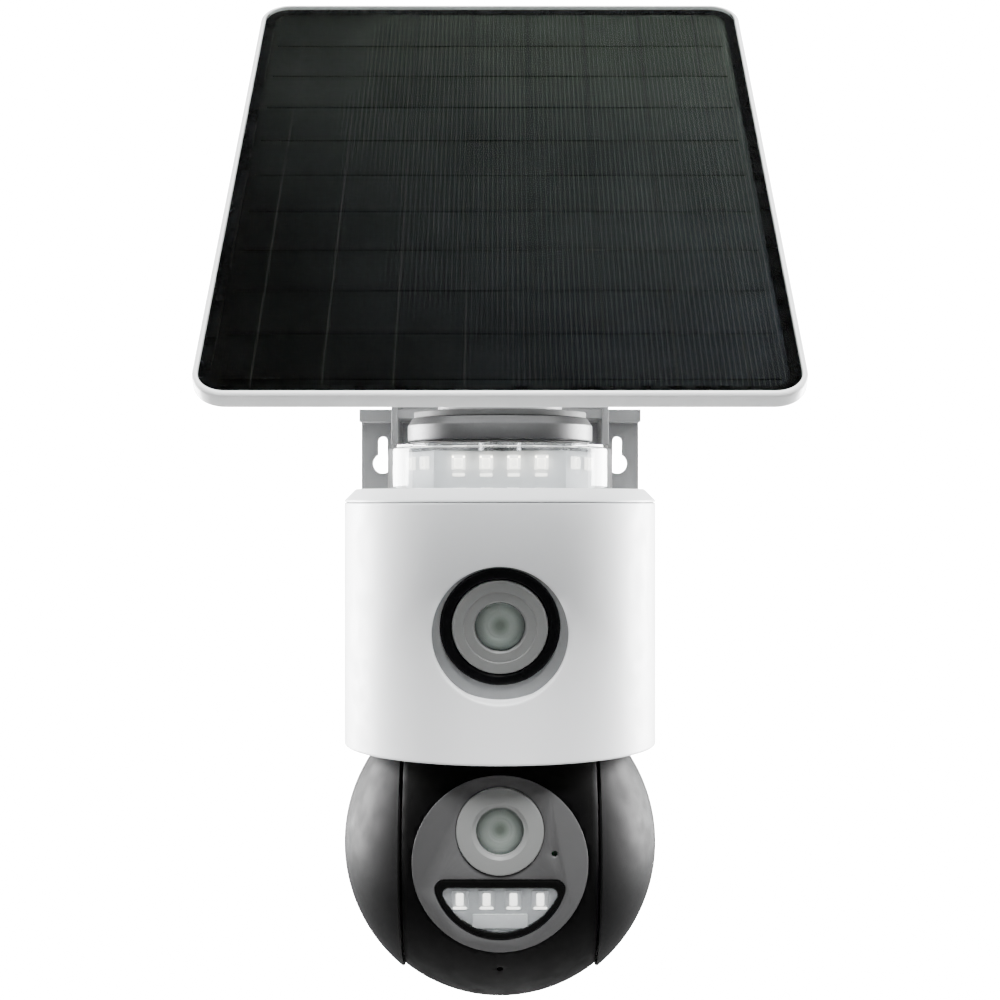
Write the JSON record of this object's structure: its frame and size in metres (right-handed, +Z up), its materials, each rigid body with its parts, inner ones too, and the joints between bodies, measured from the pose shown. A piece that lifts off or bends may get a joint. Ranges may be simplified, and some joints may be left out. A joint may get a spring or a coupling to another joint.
{
  "type": "solar-powered security camera",
  "caption": "Wall-mounted outdoor camera with a tilting solar panel, a clear light ring, a fixed upper lens and a pan-and-tilt ball head with a second lens and a lamp.",
  "frame": {"origin": "wall face of the bracket, midway between the two keyholes' round entries", "axes": "+X to the object's left-right width, right as seen from the front, +Y into the wall, +Z up; the camera faces -Y"},
  "size_m": [0.17, 0.1527, 0.3362],
  "materials": {
    "bracket_grey": "satin powder coat",
    "pin_steel": "turned",
    "knob_plastic": "fine texture",
    "panel_white": "satin",
    "panel_glass": "fine patterned glass",
    "solar_cell": "dark cells with fine silver lines",
    "cell_backing": "matt",
    "screw_steel": "plated",
    "seal_rubber": "matt",
    "cap_grey": "satin",
    "clear_plastic": "clear",
    "carrier_white": "glossy",
    "led_chip": "clear over phosphor",
    "housing_white": "satin moulded",
    "socket_black": "fine texture",
    "lens_ring_black": "gloss",
    "lens_disc_grey": "fine texture",
    "lens_glass": "coated",
    "barrel_black": "matt",
    "circuit_board": "solder mask",
    "battery_wrap": "shrink wrap",
    "metal_can": "pressed",
    "button_red": "matt",
    "button_white": "matt",
    "gear_brass": "cut",
    "gear_nylon": "moulded",
    "cover_grey": "satin moulded",
    "band_black": "satin",
    "face_grey": "fine texture",
    "lamp_black": "gloss"
  },
  "bodies": {
    "bracket": {"wall_bracket": "bracket_grey", "hinge_pin": "pin_steel", "cap_pad": "seal_rubber", "cap_disc": "cap_grey", "cap_seal": "seal_rubber", "clear_ring": "clear_plastic", "led_carrier": "carrier_white", "ring_leds": "led_chip", "stem_tube": "pin_steel", "stem_nuts": "pin_steel", "body_lid": "housing_white", "lid_seal": "seal_rubber", "front_shell": "housing_white", "rear_shell": "housing_white", "shell_screws": "screw_steel", "socket_cup": "socket_black", "lens_ring": "lens_ring_black", "lens_disc": "lens_disc_grey", "upper_lens": "lens_glass", "upper_barrel": "barrel_black", "upper_sensor_board": "circuit_board", "battery_cells": "battery_wrap", "battery_tray": "socket_black", "main_board": "circuit_board", "radio_module": "metal_can", "speaker": "barrel_black", "side_board": "circuit_board", "card_slot": "metal_can", "charge_socket": "metal_can", "flap_pin": "pin_steel", "pan_motor": "metal_can", "pan_bush": "gear_brass"},
    "panel": {"panel_frame": "panel_white", "panel_glass": "panel_glass", "solar_cells": "solar_cell", "cell_board": "cell_backing", "panel_back": "panel_white", "hinge_lug": "bracket_grey", "lug_screws": "screw_steel", "junction_box": "knob_plastic"},
    "knob": {"clamp_knob": "knob_plastic"},
    "flap": {"service_flap": "housing_white"},
    "power_key": {"power_button": "button_red"},
    "reset_key": {"reset_button": "button_white"},
    "pan_drive": {"pan_pinion": "gear_brass"},
    "head": {"yoke": "socket_black", "pan_gear": "gear_nylon", "left_cover": "cover_grey", "right_cover": "cover_grey", "tilt_bushes": "gear_brass", "tilt_motor": "metal_can"},
    "tilt_drive": {"tilt_pinion": "gear_brass"},
    "lens_band": {"tilt_gear": "gear_nylon", "tilt_axles": "pin_steel", "band_front": "band_black", "band_rear": "band_black", "face_plate": "face_grey", "lower_lens_unit": "lens_disc_grey", "lamp_unit": "lamp_black", "lower_boards": "circuit_board"}
  },
  "joints": [
    {"name": "panel_tilt", "type": "hinge", "parent": "bracket", "child": "panel", "pos_m": [0, -0.06167, 0.07272], "axis": [1, 0, 0], "range_deg": [0, 19]},
    {"name": "knob_turn", "type": "hinge", "parent": "bracket", "child": "knob", "pos_m": [0.043, -0.06167, 0.07272], "axis": [1, 0, 0], "range_deg": [-180, 180]},
    {"name": "head_pan", "type": "hinge", "parent": "bracket", "child": "head", "pos_m": [0, -0.067, -0.1215], "axis": [0, 0, 1], "range_deg": [-175, 175]},
    {"name": "head_tilt", "type": "hinge", "parent": "head", "child": "lens_band", "pos_m": [0, -0.067, -0.1215], "axis": [1, 0, 0], "range_deg": [-8, 80]},
    {"name": "pan_pinion_spin", "type": "hinge", "parent": "bracket", "child": "pan_drive", "pos_m": [0, -0.0445, -0.0628], "axis": [0, 0, 1], "range_deg": [-700, 700]},
    {"name": "tilt_pinion_spin", "type": "hinge", "parent": "head", "child": "tilt_drive", "pos_m": [0.0347, -0.0505, -0.1215], "axis": [1, 0, 0], "range_deg": [-220, 30]},
    {"name": "flap_hinge", "type": "hinge", "parent": "bracket", "child": "flap", "pos_m": [0.0491, -0.039, -0.0648], "axis": [0, 1, 0], "range_deg": [0, 90]},
    {"name": "power_press", "type": "slide", "parent": "bracket", "child": "power_key", "axis": [-1, 0, 0], "range_m": [0, 0.0007], "stiffness_N_per_m": 400},
    {"name": "reset_press", "type": "slide", "parent": "bracket", "child": "reset_key", "axis": [-1, 0, 0], "range_m": [0, 0.0007], "stiffness_N_per_m": 400}
  ],
  "couplings": [
    {"joint": "pan_pinion_spin", "follows": "head_pan", "ratio": -4},
    {"joint": "tilt_pinion_spin", "follows": "head_tilt", "ratio": -2.6667}
  ]
}
